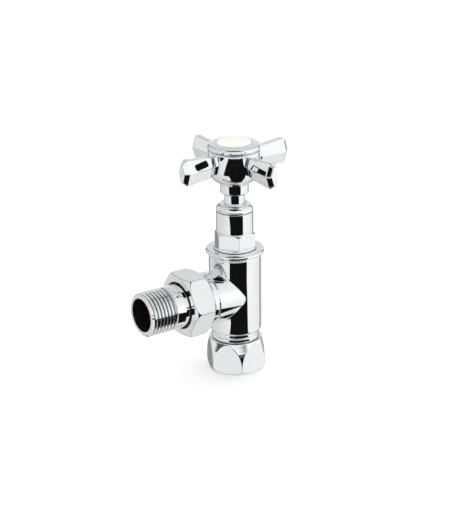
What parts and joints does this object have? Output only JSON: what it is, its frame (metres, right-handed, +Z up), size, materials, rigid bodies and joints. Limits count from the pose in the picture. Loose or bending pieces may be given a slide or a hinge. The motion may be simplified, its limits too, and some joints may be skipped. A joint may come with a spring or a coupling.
{
  "type": "manual angle radiator valve",
  "caption": "Chrome angle radiator valve with a cross-head handle on a rising spindle, a compression joint for the pipe below and a threaded union tail to the radiator at the side.",
  "frame": {"origin": "centre of the pipe entry, on the bottom face of the compression nut", "axes": "+Z up along the spindle, -X out along the radiator tail"},
  "size_m": [0.0832, 0.0606, 0.1141],
  "materials": {
    "chrome": "polished chrome plate on brass",
    "bare_brass": "machined brass",
    "ceramic": "glazed off-white ceramic",
    "black_rubber": "moulded rubber",
    "steel": "bright zinc-plated steel",
    "white_packing": "compressed packing",
    "red_fibre": "hard fibre"
  },
  "bodies": {
    "valve": {"valve_body": "chrome", "headwork_bonnet": "chrome", "bonnet_o_ring": "black_rubber", "gland_nut": "chrome", "gland_washer": "bare_brass", "gland_packing": "white_packing"},
    "jumper": {"jumper": "bare_brass", "jumper_clip": "steel", "seat_washer": "black_rubber", "seat_washer_nut": "bare_brass"},
    "handle": {"spindle": "chrome", "crosshead_handle": "chrome", "index_cap": "chrome", "ceramic_index": "ceramic", "index_o_ring": "black_rubber", "handle_screw": "steel", "handle_spring_washer": "steel"},
    "olive": {"compression_olive": "bare_brass"},
    "pipe_nut": {"compression_nut": "chrome"},
    "tail": {"radiator_tail": "chrome", "union_seal": "red_fibre"},
    "union": {"union_nut": "chrome"}
  },
  "joints": [
    {"name": "jumper_lift", "type": "slide", "parent": "valve", "child": "jumper", "axis": [0, 0, 1], "range_m": [-0.00375, 0.00075]},
    {"name": "handle_turn", "type": "hinge", "parent": "jumper", "child": "handle", "pos_m": [0, 0, 0.1037], "axis": [0, 0, 1], "range_deg": [-900, 180]},
    {"name": "olive_slide", "type": "slide", "parent": "valve", "child": "olive", "axis": [0, 0, -1], "range_m": [0, 0.0082]},
    {"name": "pipe_nut_turn", "type": "hinge", "parent": "olive", "child": "pipe_nut", "pos_m": [0, 0, 0.0077], "axis": [0, 0, -1], "range_deg": [0, 1620]},
    {"name": "tail_slide", "type": "slide", "parent": "valve", "child": "tail", "axis": [-1, 0, 0], "range_m": [0, 0.00602]},
    {"name": "union_nut_turn", "type": "hinge", "parent": "tail", "child": "union", "pos_m": [-0.0267, 0, 0.03915], "axis": [-1, 0, 0], "range_deg": [0, 1440]}
  ],
  "couplings": [
    {"joint": "handle_turn", "follows": "jumper_lift", "rad_per_m": 4188.8},
    {"joint": "olive_slide", "follows": "pipe_nut_turn", "m_per_rad": 0.00028871},
    {"joint": "tail_slide", "follows": "union_nut_turn", "m_per_rad": 0.00023873}
  ]
}
